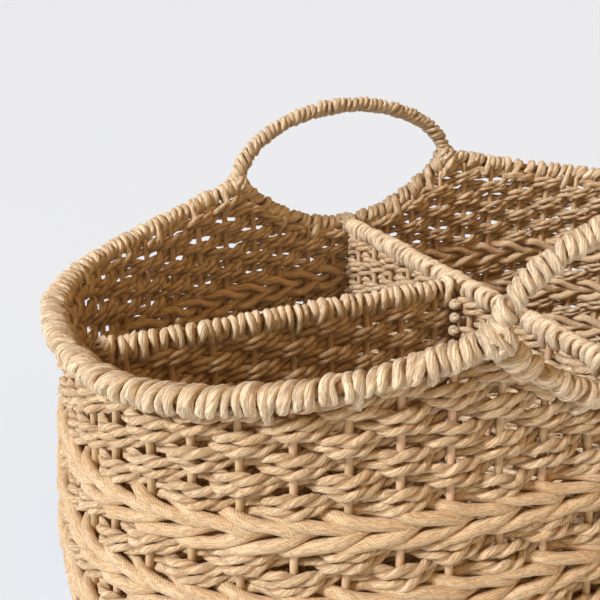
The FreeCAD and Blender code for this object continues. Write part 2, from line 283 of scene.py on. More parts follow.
class CordBuilder:
    """Sweeps cord sections along centrelines and makes them one finished piece.

    Attributes:
        tip_length: length of the point that closes a cut end.
        tip_size: thickness of a cord where that point starts, as a share.
        pattern_shift: how far each cord's pattern is moved on from the one before.
    """

    tip_length = 0.6 * MM
    tip_size = 0.75
    pattern_shift = 7.31

    def __init__(self) -> None:
        """Start with an empty list of pieces."""
        self.pieces: dict[str, bpy.types.Object] = {}

    def build(self, name: str, runs: list[Run], cord: Cord, nodes: list[str], slot: Slot,
              material: bpy.types.Material) -> bpy.types.Object:
        """Make one piece out of many runs of one cord.

        Args:
            name: the piece's name.
            runs: the centrelines.
            cord: the kind of cord.
            nodes: the frame's nodes that the piece stands for.
            slot: the record's material slot; not used.
            material: the finish.

        Returns:
            The new object, riding on the root body.
        """
        section = self._section_object(cord)
        curve = bpy.data.curves.new(name, "CURVE")
        curve.dimensions = "3D"
        curve.bevel_mode = "OBJECT"
        curve.bevel_object = section
        runs = [self._with_tips(run) for run in runs]
        lengths = [self._add_spline(curve, run, cord) for run in runs]
        holder = bpy.data.objects.new(name + "_line", curve)
        bpy.context.scene.collection.objects.link(holder)
        bpy.context.view_layer.update()
        graph = bpy.context.evaluated_depsgraph_get()
        mesh = bpy.data.meshes.new_from_object(holder.evaluated_get(graph))
        bpy.data.objects.remove(holder)
        bpy.data.curves.remove(curve)
        outline = section.data
        bpy.data.objects.remove(section)
        bpy.data.curves.remove(outline)
        self._lay_uv(mesh, runs, lengths, len(cord.section()))
        self._close_tips(mesh)
        mesh.name = name
        mesh.materials.clear()
        mesh.materials.append(material)
        piece = bpy.data.objects.new(name, mesh)
        bpy.context.scene.collection.objects.link(piece)
        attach(piece, ROOT)
        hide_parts(*nodes)
        self.pieces[name] = piece
        log.info("%s: %d cords, %d faces", name, len(runs), len(mesh.polygons))
        return piece

    @staticmethod
    def _section_object(cord: Cord) -> bpy.types.Object:
        """A closed flat curve of the cord's cross-section."""
        outline = bpy.data.curves.new("section", "CURVE")
        outline.dimensions = "2D"
        spline = outline.splines.new("POLY")
        points = cord.section()
        spline.points.add(len(points) - 1)
        for target, (x, y) in zip(spline.points, points):
            target.co = (x, y, 0, 1)
        spline.use_cyclic_u = True
        section = bpy.data.objects.new("section", outline)
        bpy.context.scene.collection.objects.link(section)
        return section

    def _with_tips(self, run: Run) -> Run:
        """Round an open run's ends off to a point, so that the cord is closed."""
        count = len(run.points)
        size = np.broadcast_to(np.asarray(run.thickness, float), (count,)).copy()
        if run.closed:
            return Run(run.points, True, size)
        first = run.points[0] - run.points[1]
        last = run.points[-1] - run.points[-2]
        first *= self.tip_length / np.linalg.norm(first)
        last *= self.tip_length / np.linalg.norm(last)
        points = np.concatenate([[run.points[0] + first], run.points, [run.points[-1] + last]])
        size = np.concatenate([[0.0], size, [0.0]])
        size[1] *= self.tip_size
        size[-2] *= self.tip_size
        return Run(points, False, size)

    @staticmethod
    def _add_spline(curve: bpy.types.Curve, run: Run, cord: Cord) -> np.ndarray:
        """Add one run to the curve, twisted by the cord's lay.

        Returns:
            The distance along the run of each point, and for a closed run of its start again.
        """
        count = len(run.points)
        around = np.concatenate([run.points, run.points[:1]])
        along = np.concatenate([[0], np.cumsum(np.linalg.norm(np.diff(around, axis=0), axis=1))])
        turns = along[-1] / cord.lay
        if run.closed:
            turns = max(1, round(turns))
        tilt = along[:count] / along[-1] * turns * 2 * math.pi * cord.twist.value
        if cord.plies == 1:
            tilt = np.zeros(count)
        spline = curve.splines.new("POLY")
        spline.points.add(count - 1)
        places = np.concatenate([run.points, np.ones((count, 1))], 1)
        spline.points.foreach_set("co", places.ravel())
        spline.points.foreach_set("tilt", tilt)
        spline.points.foreach_set("radius", run.thickness)
        spline.use_cyclic_u = run.closed
        spline.use_smooth = True
        return along

    def _lay_uv(self, mesh: bpy.types.Mesh, runs: list[Run], lengths: list[np.ndarray],
                sides: int) -> None:
        """Give every corner its distance along the cord, in centimetres, and its place round it."""
        corner = np.zeros(len(mesh.loops), np.int32)
        mesh.loops.foreach_get("vertex_index", corner)
        starts = np.cumsum([0] + [len(run.points) * sides for run in runs])
        owner = np.searchsorted(starts, corner, side="right") - 1
        local = corner - starts[owner]
        ring, side = np.divmod(local, sides)
        counts = np.array([len(run.points) for run in runs])[owner]
        ring, side, counts4 = (values.reshape(-1, 4) for values in (ring, side, counts))
        seam = (side.max(1) - side.min(1) > 1)[:, None] & (side == 0)
        side = np.where(seam, sides, side)
        wrap = (ring.max(1) - ring.min(1) > 1)[:, None] & (ring == 0)
        ring = np.where(wrap, counts4, ring).ravel()
        table = np.concatenate(lengths)
        first = np.cumsum([0] + [len(length) for length in lengths])[owner]
        along = table[first + ring] * 100 + owner * self.pattern_shift
        uv = np.stack([along, side.ravel() / sides], 1).astype(np.float32)
        layer = mesh.uv_layers.active or mesh.uv_layers.new(name="UVMap")
        layer.data.foreach_set("uv", uv.ravel())

    @staticmethod
    def _close_tips(mesh: bpy.types.Mesh) -> None:
        """Merge the points of each tip, and shade the cord smooth."""
        work = bmesh.new()
        work.from_mesh(mesh)
        bmesh.ops.remove_doubles(work, verts=work.verts, dist=1e-7)
        for face in work.faces:
            face.smooth = True
        work.to_mesh(mesh)
        work.free()


@dataclass
class Hand:
    """The weaver's hand: seeded unevenness, so that every run comes out the same each time."""

    seed: int
    rng: np.random.Generator = field(init=False)

    def __post_init__(self) -> None:
        """Seed the generator."""
        self.rng = np.random.default_rng(self.seed)

    def wander(self, count: int, knots: float, spread: float, closed: bool = False) -> np.ndarray:
        """A smooth random line.

        Args:
            count: number of values.
            knots: number of random values that it passes through.
            spread: its usual size.
            closed: whether its end joins its start.

        Returns:
            The values.
        """
        total = max(4, int(round(knots)))
        values = self.rng.normal(0, spread, total + 1)
        if closed:
            values[-1] = values[0]
        place = np.linspace(0, total, count, endpoint=not closed)
        low = np.minimum(place.astype(int), total - 1)
        part = place - low
        part = part * part * (3 - 2 * part)
        return values[low] * (1 - part) + values[low + 1] * part

    def jitter(self, spread: float) -> float:
        """One random value."""
        return float(self.rng.normal(0, spread))


# --- finishes -------------------------------------------------------------------------------------
def _group(name: str, inputs: dict[str, float],
           outputs: list[tuple[str, str]]) -> bpy.types.NodeTree:
    """An empty shader node group with a vector input and named number inputs."""
    tree = bpy.data.node_groups.new(name, "ShaderNodeTree")
    tree.interface.new_socket("Vector", in_out="INPUT", socket_type="NodeSocketVector")
    for label, value in inputs.items():
        socket = tree.interface.new_socket(label, in_out="INPUT", socket_type="NodeSocketFloat")
        socket.default_value = value
    for label, kind in outputs:
        tree.interface.new_socket(label, in_out="OUTPUT", socket_type=kind)
    return tree


class Nodes:
    """Short calls for wiring one node tree."""

    def __init__(self, tree: bpy.types.NodeTree) -> None:
        """Start on a tree."""
        self.tree = tree

    def add(self, kind: str, **settings: object) -> bpy.types.Node:
        """Add a node and set its properties; names that start with in_ set input values."""
        node = self.tree.nodes.new(kind)
        for key, value in settings.items():
            if key.startswith("in_"):
                node.inputs[key[3:].replace("_", " ")].default_value = value
            else:
                setattr(node, key, value)
        return node

    def link(self, source: bpy.types.NodeSocket, target: bpy.types.NodeSocket) -> None:
        """Join two sockets."""
        self.tree.links.new(source, target)

    def math(self, operation: str, first: object, second: object = 0.0,
             third: object = 0.0) -> bpy.types.NodeSocket:
        """A math node on sockets or numbers."""
        node = self.add("ShaderNodeMath", operation=operation)
        for socket, value in zip(node.inputs, (first, second, third)):
            if isinstance(value, (int, float)):
                socket.default_value = value
            else:
                self.link(value, socket)
        return node.outputs[0]

    def stretch(self, vector: bpy.types.NodeSocket,
                scale: tuple[float, float, float]) -> bpy.types.NodeSocket:
        """The vector scaled by a fixed amount on each axis."""
        node = self.add("ShaderNodeMapping")
        node.inputs["Scale"].default_value = scale
        self.link(vector, node.inputs["Vector"])
        return node.outputs[0]

    def noise(self, vector: bpy.types.NodeSocket, scale: float, detail: float = 2.0,
              roughness: float = 0.5) -> bpy.types.NodeSocket:
        """Noise at a scale, from 0 to 1."""
        node = self.add("ShaderNodeTexNoise", in_Scale=scale, in_Detail=detail,
                        in_Roughness=roughness)
        self.link(vector, node.inputs["Vector"])
        return node.outputs["Fac"]

    def ramp(self, value: bpy.types.NodeSocket, low: float, high: float, to_low: float = 0.0,
             to_high: float = 1.0) -> bpy.types.NodeSocket:
        """The value taken from one range to another, clamped."""
        node = self.add("ShaderNodeMapRange")
        self.link(value, node.inputs["Value"])
        node.inputs["From Min"].default_value = low
        node.inputs["From Max"].default_value = high
        node.inputs["To Min"].default_value = to_low
        node.inputs["To Max"].default_value = to_high
        return node.outputs[0]

    def shaded(self, colour: bpy.types.NodeSocket,
               shade: bpy.types.NodeSocket) -> bpy.types.NodeSocket:
        """The colour made darker or lighter by a shade."""
        node = self.add("ShaderNodeVectorMath", operation="SCALE")
        self.link(colour, node.inputs[0])
        self.link(shade, node.inputs["Scale"])
        return node.outputs[0]

    def blend(self, factor: bpy.types.NodeSocket, first: object,
              second: object) -> bpy.types.NodeSocket:
        """Two colours blended by a factor."""
        node = self.add("ShaderNodeMix", data_type="RGBA")
        self.link(factor, node.inputs["Factor"])
        for socket, value in ((node.inputs[6], first), (node.inputs[7], second)):
            if isinstance(value, tuple):
                socket.default_value = value
            else:
                self.link(value, socket)
        return node.outputs[2]


class SharedEffects:
    """Node groups that several finishes use."""

    def __init__(self) -> None:
        """Build each group once."""
        self.fibre = self._fibre()
        self.tone = self._tone()

    @staticmethod
    def _fibre() -> bpy.types.NodeTree:
        """Creased paper: long fibres that follow the ply, and folds across it."""
        tree = _group("paper_fibre", {"Fibres": 9.0, "Creases": 5.0},
                      [("Height", "NodeSocketFloat"), ("Fold", "NodeSocketFloat")])
        n = Nodes(tree)
        source = n.add("NodeGroupInput")
        split = n.add("ShaderNodeSeparateXYZ")
        n.link(source.outputs["Vector"], split.inputs[0])
        turn = n.math("MULTIPLY", split.outputs[1], 2 * math.pi)
        ring = n.add("ShaderNodeCombineXYZ")
        n.link(n.math("MULTIPLY", n.math("COSINE", turn), 0.42), ring.inputs[0])
        n.link(n.math("MULTIPLY", n.math("SINE", turn), 0.42), ring.inputs[1])
        n.link(n.math("MULTIPLY", split.outputs[0], 0.11), ring.inputs[2])
        fibres = n.add("ShaderNodeTexNoise", in_Detail=3.0, in_Roughness=0.6)
        n.link(ring.outputs[0], fibres.inputs["Vector"])
        n.link(source.outputs["Fibres"], fibres.inputs["Scale"])
        folds_at = n.stretch(ring.outputs[0], (1.0, 1.0, 3.5))
        folds = n.add("ShaderNodeTexNoise", in_Detail=2.0, in_Roughness=0.5, in_Distortion=0.4)
        n.link(folds_at, folds.inputs["Vector"])
        n.link(source.outputs["Creases"], folds.inputs["Scale"])
        fold = n.math("ABSOLUTE", n.math("SUBTRACT", folds.outputs["Fac"], 0.5))
        fold = n.ramp(fold, 0.0, 0.09)
        height = n.math("ADD", n.math("MULTIPLY", fibres.outputs["Fac"], 0.6),
                        n.math("MULTIPLY", fold, 0.4))
        sink = n.add("NodeGroupOutput")
        n.link(height, sink.inputs["Height"])
        n.link(fold, sink.inputs["Fold"])
        return tree

    @staticmethod
    def _tone() -> bpy.types.NodeTree:
        """Slow changes of colour from cord to cord and along each cord."""
        tree = _group("cord_tone", {"Slow": 0.35, "Quick": 2.2},
                      [("Slow", "NodeSocketFloat"), ("Quick", "NodeSocketFloat")])
        n = Nodes(tree)
        source = n.add("NodeGroupInput")
        sink = n.add("NodeGroupOutput")
        along = n.stretch(source.outputs["Vector"], (1.0, 0.0, 0.0))
        for label in ("Slow", "Quick"):
            node = n.add("ShaderNodeTexNoise", in_Detail=2.0)
            n.link(along, node.inputs["Vector"])
            n.link(source.outputs[label], node.inputs["Scale"])
            n.link(n.ramp(node.outputs["Fac"], 0.3, 0.7), sink.inputs[label])
        return tree


@dataclass(frozen=True)
class PaperCordFinish:
    """Matt paper cord.

    Attributes:
        name: the material's name.
        pale: colour of the lightest paper, linear.
        dark: colour of the darkest paper.
        blush: colour of the odd reddish length.
        deep: painted shade colour, laid into the grooves, creases and stripe lines.
        groove: how much of that painted shade the groove between two plies takes.
        fibres: how fine the long fibres are.
        creases: how close the folds are.
        relief: strength of the bump.
        stripe: spacing of the fine diagonal wrap in centimetres, or 0 for none.
    """

    name: str
    pale: Colour
    dark: Colour
    blush: Colour
    # painted shade colour for the grooves, creases and stripe lines
    deep: Colour = (0.33, 0.165, 0.055, 1.0)
    groove: float = 0.75
    fibres: float = 9.0
    creases: float = 5.0
    relief: float = 0.9
    stripe: float = 0.0

    def material(self, effects: SharedEffects) -> bpy.types.Material:
        """Build the material.

        Args:
            effects: the shared node groups.

        Returns:
            The material.
        """
        made = bpy.data.materials.new(self.name)
        made.use_nodes = True
        n = Nodes(made.node_tree)
        shader = made.node_tree.nodes["Principled BSDF"]
        uv = n.add("ShaderNodeUVMap", uv_map="UVMap").outputs[0]
        fibre = n.add("ShaderNodeGroup", node_tree=effects.fibre)
        tone = n.add("ShaderNodeGroup", node_tree=effects.tone)
        n.link(uv, fibre.inputs["Vector"])
        n.link(uv, tone.inputs["Vector"])
        fibre.inputs["Fibres"].default_value = self.fibres
        fibre.inputs["Creases"].default_value = self.creases
        split = n.add("ShaderNodeSeparateXYZ")
        n.link(uv, split.inputs[0])
        colour = n.blend(tone.outputs["Slow"], self.dark, self.pale)
        rosy = n.math("MULTIPLY", n.ramp(tone.outputs["Quick"], 0.8, 1.0), 0.45)
        colour = n.blend(rosy, colour, self.blush)
        # partly fibre tone, partly painted shade: darker in the low places between fibres, a little
        # lighter on the high ones
        colour = n.shaded(colour, n.ramp(fibre.outputs["Height"], 0.3, 0.65, 0.87, 1.05))
        # painted shade: the deep colour laid into the paper's creases
        colour = n.blend(n.ramp(fibre.outputs["Fold"], 0.0, 0.8, 0.42, 0.0), colour, self.deep)
        height = fibre.outputs["Height"]
        # painted shade: the deep colour laid into the groove between the two plies
        if self.groove > 0:
            turn = n.math("MULTIPLY", split.outputs[1], 4 * math.pi)
            lobe = n.math("MULTIPLY_ADD", n.math("COSINE", turn), 0.5, 0.5)
            colour = n.blend(n.ramp(lobe, 0.0, 0.3, self.groove, 0.0), colour, self.deep)
        if self.stripe > 0:
            slant = n.math("MULTIPLY_ADD", split.outputs[1], 11.0,
                           n.math("DIVIDE", split.outputs[0], self.stripe))
            wave = n.math("SINE", n.math("MULTIPLY", slant, 2 * math.pi))
            line = n.ramp(wave, -1.0, 0.1)
            # painted shade: the deep colour laid into the stripe's low lines, which the bump also
            # sinks
            colour = n.blend(n.ramp(line, 0.0, 1.0, 0.26, 0.0), colour, self.deep)
            height = n.math("MULTIPLY_ADD", line, 0.55, n.math("MULTIPLY", height, 0.6))
        bump = n.add("ShaderNodeBump", in_Distance=0.6 * MM, in_Strength=self.relief)
        n.link(height, bump.inputs["Height"])
        n.link(bump.outputs[0], shader.inputs["Normal"])
        n.link(colour, shader.inputs["Base Color"])
        n.link(n.ramp(fibre.outputs["Height"], 0.2, 0.7, 0.82, 0.62), shader.inputs["Roughness"])
        shader.inputs["Specular IOR Level"].default_value = 0.45
        shader.inputs["Sheen Weight"].default_value = 0.12
        shader.inputs["Sheen Roughness"].default_value = 0.5
        return made


@dataclass(frozen=True)
class RodFinish:
    """Unvarnished round rod, with grain along it and a tint that changes from rod to rod.

    Attributes:
        name: the material's name.
        tints: colours that the rods run through, linear.
        grain: how fine the grain is.
    """

    name: str
    tints: tuple[Colour, ...]
    grain: float = 1.4

    def material(self) -> bpy.types.Material:
        """Build the material."""
        made = bpy.data.materials.new(self.name)
        made.use_nodes = True
        n = Nodes(made.node_tree)
        shader = made.node_tree.nodes["Principled BSDF"]
        place = n.add("ShaderNodeTexCoord").outputs["Object"]
        rod = n.noise(n.stretch(place, (60.0, 60.0, 3.0)), 1.0, 1.0)
        grain = n.noise(n.stretch(place, (1000.0, 1000.0, 40.0)), self.grain, 3.0, 0.6)
        ramp = n.add("ShaderNodeValToRGB")
        ramp.color_ramp.interpolation = "EASE"
        stops = ramp.color_ramp.elements
        stops[0].color, stops[1].color = self.tints[0], self.tints[-1]
        stops[0].position, stops[1].position = 0.3, 0.72
        for i, tint in enumerate(self.tints[1:-1]):
            stops.new(0.3 + 0.42 * (i + 1) / (len(self.tints) - 1)).color = tint
        n.link(rod, ramp.inputs[0])
        colour = n.shaded(ramp.outputs[0], n.ramp(grain, 0.3, 0.7, 0.82, 1.08))
        n.link(colour, shader.inputs["Base Color"])
        bump = n.add("ShaderNodeBump", in_Distance=0.2 * MM, in_Strength=0.4)
        n.link(grain, bump.inputs["Height"])
        n.link(bump.outputs[0], shader.inputs["Normal"])
        n.link(n.ramp(grain, 0.3, 0.7, 0.6, 0.45), shader.inputs["Roughness"])
        return made


@dataclass(frozen=True)
class Palette:
    """The finished materials that the sub-assemblies share."""

    woven: bpy.types.Material
    wale: bpy.types.Material
    binding: bpy.types.Material
    smooth_binding: bpy.types.Material
    handle: bpy.types.Material
    stake: bpy.types.Material
    cane: bpy.types.Material


# --- woven work -----------------------------------------------------------------------------------
@dataclass
class WallWeave:
    """The wall: stakes, plain pair weave, and wale bands.

    Attributes:
        form: the basket's form.
        hand: the weaver's hand.
        pair: the rope of the plain rows.
        wale: the cord of the wale bands.
        stake: the round stakes.
        reach: how far a rope stands off the wall's middle where it passes a stake.
        wale_reach: the same for a wale cord.
        wale_slope: half the climb of one wale stroke.
        step: distance between a rope's points.
        drift_spread: how far the rows wander up and down together.
        drift_grid: random values up and round the wall that the wander passes through.
    """

    form: BasketForm
    hand: Hand
    pair: Cord = Cord(radius=2.6 * MM, lay=18 * MM, twist=Lay.LEFT, depth=0.4)
    wale: Cord = Cord(radius=2.45 * MM, plies=1)
    stake: Cord = Cord(radius=1.55 * MM, plies=1)
    reach: float = 2.75 * MM
    wale_reach: float = 3.4 * MM
    wale_slope: float = 3.2 * MM
    step: float = 1.4 * MM
    drift_spread: float = 0.8 * MM
    drift_grid: tuple[int, int] = (12, 14)

    def __post_init__(self) -> None:
        """Work out the rows' heights and the weave's slow drift."""
        form = self.form
        self.top = form.rim_height - form.roll_radius
        self.drift_knots = self.hand.rng.normal(0, self.drift_spread, self.drift_grid)

    def row_height(self, row: int) -> float:
        """Middle height of a row; row 0 is the highest full one, and rows above it are negative."""
        return self.top - (row + 0.5) * self.form.row_pitch

    def drift(self, q: np.ndarray, z: float) -> np.ndarray:
        """How far the rows wander up or down, together, at places round the wall."""
        rows, columns = self.drift_knots.shape
        across = (np.asarray(q) / self.form.stake_count % 1.0) * columns
        up = np.clip(z / (self.top + 0.03), 0, 0.999) * (rows - 1)
        column, row = across.astype(int), int(up)
        part, rest = across - column, up - row
        part = part * part * (3 - 2 * part)
        after = (column + 1) % columns
        column = column % columns
        grid = self.drift_knots
        low = grid[row][column] * (1 - part) + grid[row][after] * part
        high = grid[row + 1][column] * (1 - part) + grid[row + 1][after] * part
        return low * (1 - rest) + high * rest

    def places(self, turns: int = 1) -> np.ndarray:
        """Places round the wall, counted in stakes, close enough together for a rope's twist."""
        length = 1.03 * turns
        count = int(length / self.step)
        return np.arange(count) / count * self.form.stake_count * turns

    def pair_row(self, row: int) -> list[Run]:
        """The two ropes of one row, cut where the rim's dip crosses it.

        Args:
            row: the row's number.

        Returns:
            One run for each rope and each stretch that lies under the rim.
        """
        form = self.form
        q = self.places()
        z0 = self.row_height(row)
        plain = form.wall(q, np.full(len(q), z0), np.zeros(len(q)))
        roof = form.rim_z(plain[:, 0]) - form.roll_radius
        inside = roof > z0 - form.row_pitch * 0.75
        runs = []
        for side in (1, -1):
            beat = np.cos(math.pi * (q + row))
            shaped = beat * (1.3 - 0.3 * beat ** 2)
            out = self.reach * shaped + self.hand.wander(len(q), 90, 0.25 * MM, True)
            gap = form.row_pitch / 4 * (1 + 0.2 * beat)
            z = z0 + side * gap + self.drift(q, z0) + self.hand.wander(len(q), 120, 0.5 * MM, True)
            size = 1 + 0.05 * beat + self.hand.wander(len(q), 150, 0.05, True)
            z = np.minimum(z, roof - 0.9 * MM + side * 0.5 * MM)
            points = form.wall(q, z, out)
            if inside.all():
                runs.append(Run(points, True, size))
            else:
                runs += self._stretches(points, size, inside)
        return runs

    @staticmethod
    def _stretches(points: np.ndarray, size: np.ndarray, inside: np.ndarray) -> list[Run]:
        """Cut a ring into the stretches that are marked inside."""
        start = int(np.argmin(inside))
        order = np.roll(np.arange(len(points)), -start)
        marked = inside[order]
        edges = np.flatnonzero(np.diff(np.concatenate([[False], marked, [False]]).astype(int)))
        return [Run(points[order[a:b]], False, size[order[a:b]])
                for a, b in zip(edges[::2], edges[1::2]) if b - a > 12]

    def wale_row(self, row: int, falls: int) -> list[Run]:
        """One row of three-rod wale: each cord over two stakes and behind one.

        Args:
            row: the row's number.
            falls: 1 if the strokes fall to the right, or -1 if they rise.

        Returns:
            The single cord that goes three times round.
        """
        form = self.form
        q = self.places(3)
        beat = 2 * math.pi * q / 3
        stroke = np.sin(beat) + 0.3 * np.sin(2 * beat)
        out = self.wale_reach * np.tanh(1.5 * (0.16 - np.cos(beat)))
        emerging = np.exp(-(((beat % (2 * math.pi)) - 1.2) / 0.55) ** 2)
        stroke = stroke * (1 - 0.42 * emerging)
        out = out - 0.5 * MM * emerging
        z0 = self.row_height(row)
        z = z0 + falls * self.wale_slope * stroke + self.drift(q, z0)
        z = z + self.hand.wander(len(q), 300, 0.25 * MM, True)
        out = out + self.hand.wander(len(q), 250, 0.25 * MM, True)
        size = 1 + self.hand.wander(len(q), 300, 0.06, True)
        return [Run(form.wall(q, z, out), True, size)]

    def stake_runs(self) -> list[Run]:
        """The round stakes, each a little out of true."""
        form = self.form
        runs = []
        for k in range(form.stake_count):
            foot = form.wall(np.array([float(k)]), np.array([form.border_top]), np.zeros(1))
            top = float(form.rim_z(foot[:, 0])[0]) - 0.5 * form.roll_radius
            z = np.linspace(form.border_top, top, 16)
            lean = self.hand.wander(len(z), 3, 0.035)
            runs.append(Run(form.wall(k + lean, z, self.hand.wander(len(z), 4, 0.2 * MM))))
        return runs

    def build(self, maker: CordBuilder, finishes: Palette) -> None:
        """Make the wall's pieces."""
        form = self.form
        maker.build("wall_stake_rods", self.stake_runs(), self.stake, ["wall_stakes"], Slot.STAKE,
                    finishes.stake)
        upper = [run for row in range(-3, form.upper_rows) for run in self.pair_row(row)]
        maker.build("upper_weave_rope", upper, self.pair, ["upper_weave"], Slot.WOVEN,
                    finishes.woven)
        row = form.upper_rows
        for band in range(1, form.band_repeats + 1):
            wales = self.wale_row(row, 1) + self.wale_row(row + 1, -1)
            maker.build(f"wale_band_{band}_cord", wales, self.wale, [f"wale_band_{band}"],
                        Slot.WALE, finishes.wale)
            pairs = self.pair_row(row + 2) + self.pair_row(row + 3)
            maker.build(f"pair_band_{band}_rope", pairs, self.pair, [f"pair_band_{band}"],
                        Slot.WOVEN, finishes.woven)
            row += 4


@dataclass
class FlatWeave:
    """A flat woven panel: rows along one direction, over and under straight stakes.

    Attributes:
        form: the basket's form.
        hand: the weaver's hand.
        origin: a point of the panel's middle plane.
        along: direction of the rows.
        up: direction in which the rows stack.
        spacing: distance between stakes.
        phase: place of the first stake, in stakes.
        reach: how far a rope stands off the middle plane where it passes a stake.
        step: distance between a rope's points.
    """

    form: BasketForm
    hand: Hand
    origin: Vector
    along: Vector
    up: Vector
    spacing: float = 18.8 * MM
    phase: float = 0.0
    reach: float = 2.9 * MM
    step: float = 1.35 * MM

    def row(self, number: int, height: float, start: float, end: float,
            tilt: float = 0.0) -> list[Run]:
        """The two ropes of one row.

        Args:
            number: the row's number.
            height: distance of its middle from the origin.
            start: where it begins, along the row.
            end: where it ends.
            tilt: how far it climbs for each metre along.

        Returns:
            One run for each rope.
        """
        count = max(8, int((end - start) / self.step))
        s = np.linspace(start, end, count)
        along, up = np.array(self.along), np.array(self.up)
        face = np.cross(along, up)
        beat = np.cos(math.pi * (s / self.spacing - self.phase + number))
        shaped = beat * (1.3 - 0.3 * beat ** 2)
        runs = []
        for side in (1, -1):
            out = self.reach * shaped + self.hand.wander(count, count / 12, 0.2 * MM)
            level = height + tilt * s + side * self.form.row_pitch / 4 * (1 + 0.12 * beat)
            level = level + self.hand.wander(count, count / 14, 0.25 * MM)
            points = np.array(self.origin) + np.outer(s, along) + np.outer(level, up)
            points = points + np.outer(out, face)
            runs.append(Run(points, False, 1 + self.hand.wander(count, count / 10, 0.05)))
        return runs


@dataclass
class WrappedRoll:
    """Cord coiled round a path: rims, handles, divider tops and the border.

    Attributes:
        hand: the weaver's hand.
        path: centreline of the roll, running anticlockwise as seen from above.
        radius: outer radius of the roll.
        cord: the wrapping cord.
        pitch: length of roll that one turn takes.
        strands: cords side by side in one turn.
        closed: whether the path joins its own start.
        lean: extra slant of each turn.
        stitch_every: how many turns lie between two that dip into the weave below, or 0 for none.
        stitch: how far such a turn reaches below the roll.
        stitch_in: how far inside the roll the weave below it stands.
        outward: fixed outward direction, for a roll that climbs upright.
        spread: how uneven the turns are.
        broad: how much further the roll reaches inwards than outwards.
        hang: how much further it reaches down than up.
    """

    hand: Hand
    path: np.ndarray
    radius: float
    cord: Cord
    pitch: float
    strands: int = 2
    closed: bool = False
    lean: float = 0.7 * MM
    stitch_every: int = 0
    stitch: float = 6.0 * MM
    stitch_in: float = 0.0
    outward: tuple[float, float, float] | None = None
    spread: float = 1.0
    broad: float = 1.0
    hang: float = 1.0

    def runs(self, steps: int = 13) -> list[Run]:
        """The coils.

        Args:
            steps: points in one turn.

        Returns:
            One run for each strand.
        """
        path = np.concatenate([self.path, self.path[:1]]) if self.closed else self.path
        lengths = np.concatenate([[0], np.cumsum(np.linalg.norm(np.diff(path, axis=0), axis=1))])
        total = lengths[-1]
        turns = max(2, int(round(total / self.pitch)))
        phase = np.arange(turns * steps + (0 if self.closed else 1)) / steps
        here = phase.astype(int) % turns
        after, blend = (here + 1) % turns, phase % 1.0
        angle = 2 * math.pi * phase - math.pi / 2
        dips = self._stitches(turns)
        low = np.clip(-np.sin(angle), 0, 1)
        near = np.where(blend < 0.5, here, after)
        swell = self.hand.rng.normal(0, 0.055 * self.spread, turns)
        slant = self.lean * (1 + self.hand.rng.normal(0, 0.5 * self.spread, turns))
        result = []
        for strand in range(self.strands):
            shift = self.hand.rng.normal(0, 0.1 * self.spread, turns) * self.cord.radius * 2
            offset = (strand - (self.strands - 1) / 2) * self.pitch / self.strands
            along = phase * total / turns + offset
            along = along + shift[here] * (1 - blend) + shift[after] * blend
            along = along + slant[here] * np.sin(angle)
            along = along % total if self.closed else np.clip(along, 0.2 * MM, total - 0.2 * MM)
            centre = self._at(along, lengths, path)
            ahead = self._at(np.minimum(along + MM, total), lengths, path)
            ahead = ahead - self._at(np.maximum(along - MM, 0), lengths, path)
            ahead /= np.linalg.norm(ahead, axis=1, keepdims=True)
            side = self._side(centre, ahead)
            rise = np.cross(side, ahead)
            fuller = 1 + swell[here] * (1 - blend) + swell[after] * blend
            reach = (self.radius - self.cord.radius) * fuller
            dip = dips[near] * (strand == 0)
            down = reach * np.sin(angle) * np.where(np.sin(angle) < 0, self.hang, 1.0)
            down = down - dip * low ** 1.5
            across = reach * np.cos(angle) * np.where(np.cos(angle) < 0, self.broad, 1.0)
            across = across * (1 + 0.45 * low * (dip > 0)) - self.stitch_in * low * (dip > 0)
            points = centre + side * across[:, None] + rise * down[:, None]
            size = 1 + self.hand.wander(len(phase), turns * 3.5, 0.075 * self.spread, self.closed)
            shuffle = self.hand.wander(len(phase), turns * 3, 0.22 * MM * self.spread, self.closed)
            points = points + ahead * shuffle[:, None]
            result.append(Run(points, self.closed, size))
        return result

    def _stitches(self, turns: int) -> np.ndarray:
        """How far each turn dips into the weave below."""
        dips = np.zeros(turns)
        if self.stitch_every:
            place = int(self.hand.rng.integers(0, self.stitch_every))
            while place < turns:
                dips[place] = self.stitch * (0.7 + 0.5 * self.hand.rng.random())
                place += max(1, self.stitch_every + int(self.hand.rng.integers(-1, 2)))
        return dips

    @staticmethod
    def _at(along: np.ndarray, lengths: np.ndarray, path: np.ndarray) -> np.ndarray:
        """Points of a path at distances along it."""
        return np.stack([np.interp(along, lengths, path[:, i]) for i in range(3)], 1)

    def _side(self, centre: np.ndarray, ahead: np.ndarray) -> np.ndarray:
        """Outward direction beside the path, square to it."""
        if self.outward is not None:
            side = np.broadcast_to(np.array(self.outward, float), centre.shape).copy()
        else:
            side = np.stack([ahead[:, 1], -ahead[:, 0], np.zeros(len(ahead))], 1)
        side -= ahead * (side * ahead).sum(1, keepdims=True)
        return side / np.linalg.norm(side, axis=1, keepdims=True)


